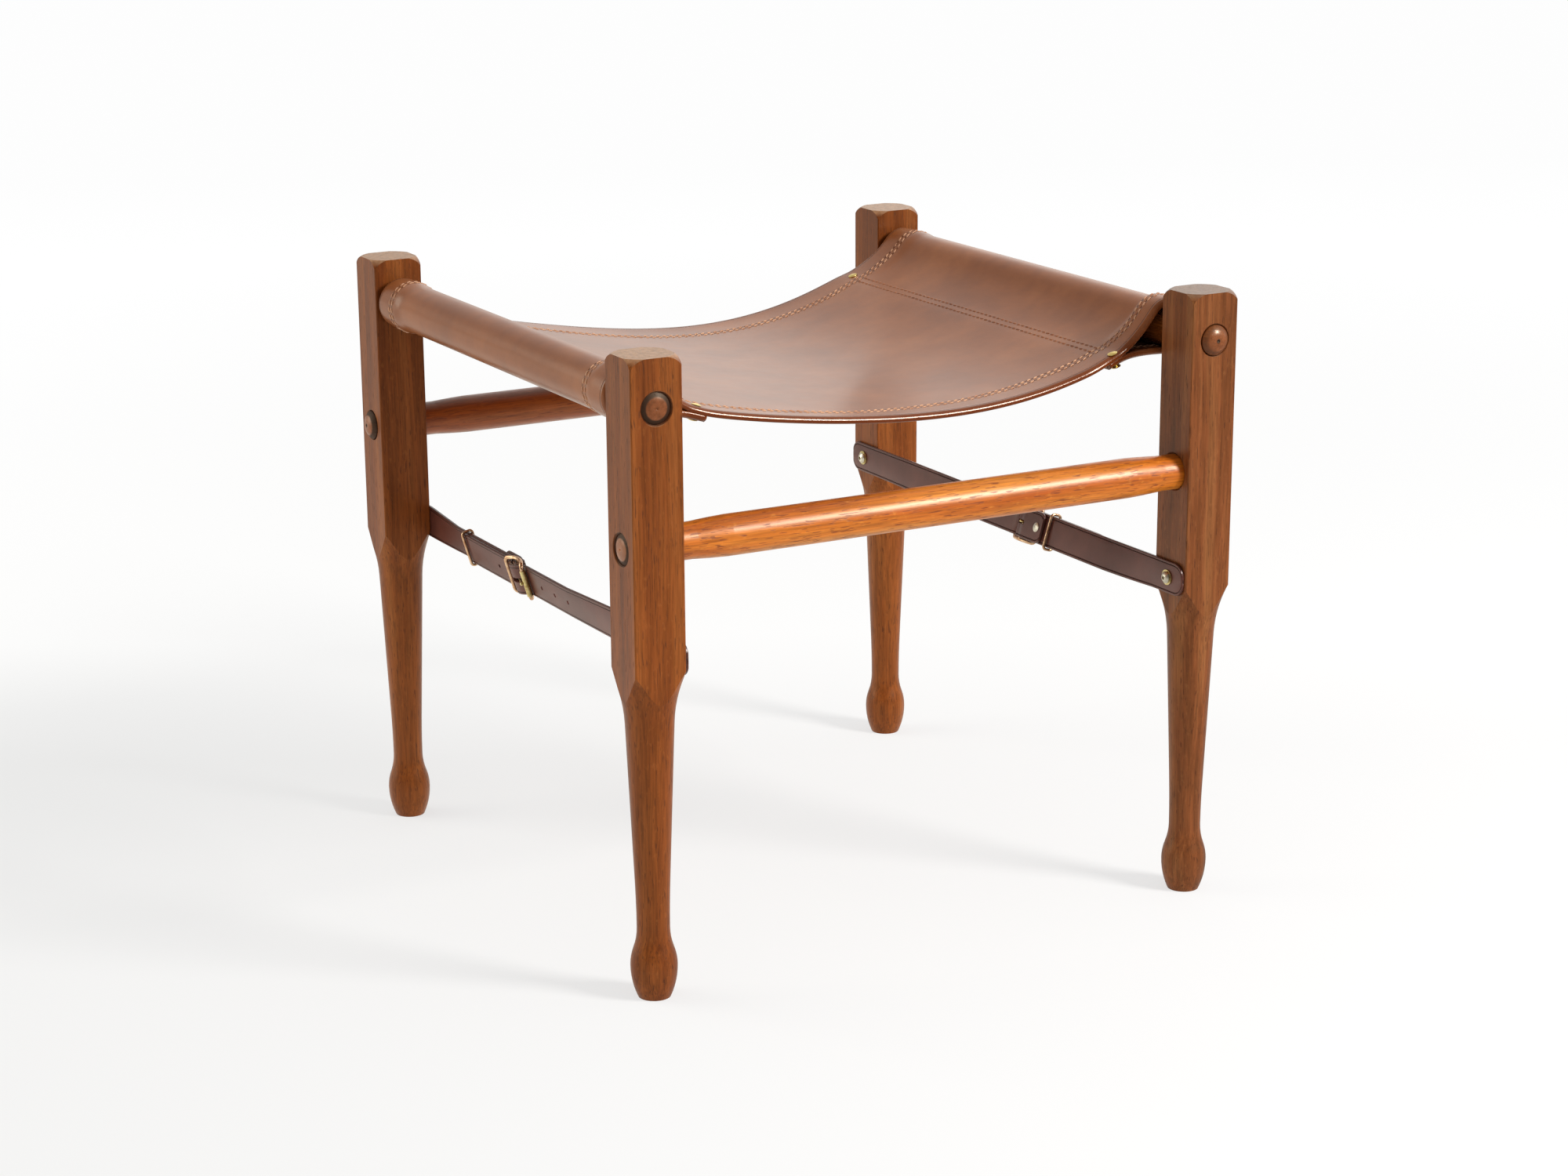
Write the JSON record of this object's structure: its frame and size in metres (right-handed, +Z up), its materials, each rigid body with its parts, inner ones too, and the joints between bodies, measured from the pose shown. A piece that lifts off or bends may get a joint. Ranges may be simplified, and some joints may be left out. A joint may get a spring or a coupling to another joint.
{
  "type": "safari stool",
  "caption": "Square campaign stool: turned wooden legs with loose tapered rails, a sagging leather sling seat and two buckled leather side straps.",
  "frame": {"origin": "on the floor under the middle of the stool, centre of the bounding box's bottom", "axes": "+Z up, -Y towards the front of the stool (the side facing the camera in the picture), +X to its right; the rails and straps run along Y and the stretchers along X"},
  "size_m": [0.4872, 0.4872, 0.45],
  "materials": {
    "dark_wood": "satin oil over stained mahogany",
    "red_wood": "satin oil",
    "seat_leather": "waxed, polished by use",
    "strap_leather": "smooth, edge creased",
    "brass": "worn polish",
    "nickel": "nickel plated"
  },
  "bodies": {
    "frame": {"leg_front_left": "dark_wood", "leg_front_right": "dark_wood", "leg_back_left": "dark_wood", "leg_back_right": "dark_wood", "seat_sling": "seat_leather", "seat_rivets": "brass", "billet_strap_left": "strap_leather", "buckle_strap_left": "strap_leather", "buckle_frame_left": "brass", "strap_rivet_left": "brass", "billet_strap_right": "strap_leather", "buckle_strap_right": "strap_leather", "buckle_frame_right": "brass", "strap_rivet_right": "brass", "strap_screw_front_left": "nickel", "strap_washer_front_left": "brass", "strap_screw_front_right": "nickel", "strap_washer_front_right": "brass", "strap_screw_back_left": "nickel", "strap_washer_back_left": "brass", "strap_screw_back_right": "nickel", "strap_washer_back_right": "brass"},
    "stretcher_front": {"stretcher_front": "red_wood"},
    "stretcher_back": {"stretcher_back": "red_wood"},
    "rail_left": {"rail_left": "dark_wood"},
    "rail_right": {"rail_right": "dark_wood"},
    "buckle_roller_left": {"buckle_roller_left": "brass"},
    "buckle_prong_left": {"buckle_prong_left": "brass"},
    "strap_keeper_left": {"strap_keeper_left": "brass"},
    "buckle_roller_right": {"buckle_roller_right": "brass"},
    "buckle_prong_right": {"buckle_prong_right": "brass"},
    "strap_keeper_right": {"strap_keeper_right": "brass"}
  },
  "joints": [
    {"name": "stretcher_front_spin", "type": "hinge", "parent": "frame", "child": "stretcher_front", "pos_m": [0, -0.22, 0.32], "axis": [1, 0, 0], "continuous": true},
    {"name": "stretcher_back_spin", "type": "hinge", "parent": "frame", "child": "stretcher_back", "pos_m": [0, 0.22, 0.32], "axis": [1, 0, 0], "continuous": true},
    {"name": "rail_left_spin", "type": "hinge", "parent": "frame", "child": "rail_left", "pos_m": [-0.22, 0, 0.4165], "axis": [0, 1, 0], "continuous": true},
    {"name": "rail_right_spin", "type": "hinge", "parent": "frame", "child": "rail_right", "pos_m": [0.22, 0, 0.4165], "axis": [0, 1, 0], "continuous": true},
    {"name": "buckle_roller_left_spin", "type": "hinge", "parent": "frame", "child": "buckle_roller_left", "pos_m": [-0.20585, 0.01, 0.23868], "axis": [-0.2924, 0, 0.9563], "continuous": true},
    {"name": "buckle_prong_left_hinge", "type": "hinge", "parent": "frame", "child": "buckle_prong_left", "pos_m": [-0.20155, 0.024, 0.24], "axis": [0.2924, 0, -0.9563], "range_deg": [0, 8]},
    {"name": "strap_keeper_left_slide", "type": "slide", "parent": "frame", "child": "strap_keeper_left", "axis": [0, 1, 0], "range_m": [-0.056, 0.009]},
    {"name": "buckle_roller_right_spin", "type": "hinge", "parent": "frame", "child": "buckle_roller_right", "pos_m": [0.20585, -0.01, 0.23868], "axis": [0.2924, 0, 0.9563], "continuous": true},
    {"name": "buckle_prong_right_hinge", "type": "hinge", "parent": "frame", "child": "buckle_prong_right", "pos_m": [0.20155, -0.024, 0.24], "axis": [-0.2924, 0, -0.9563], "range_deg": [0, 8]},
    {"name": "strap_keeper_right_slide", "type": "slide", "parent": "frame", "child": "strap_keeper_right", "axis": [0, -1, 0], "range_m": [-0.001, 0.065]}
  ]
}
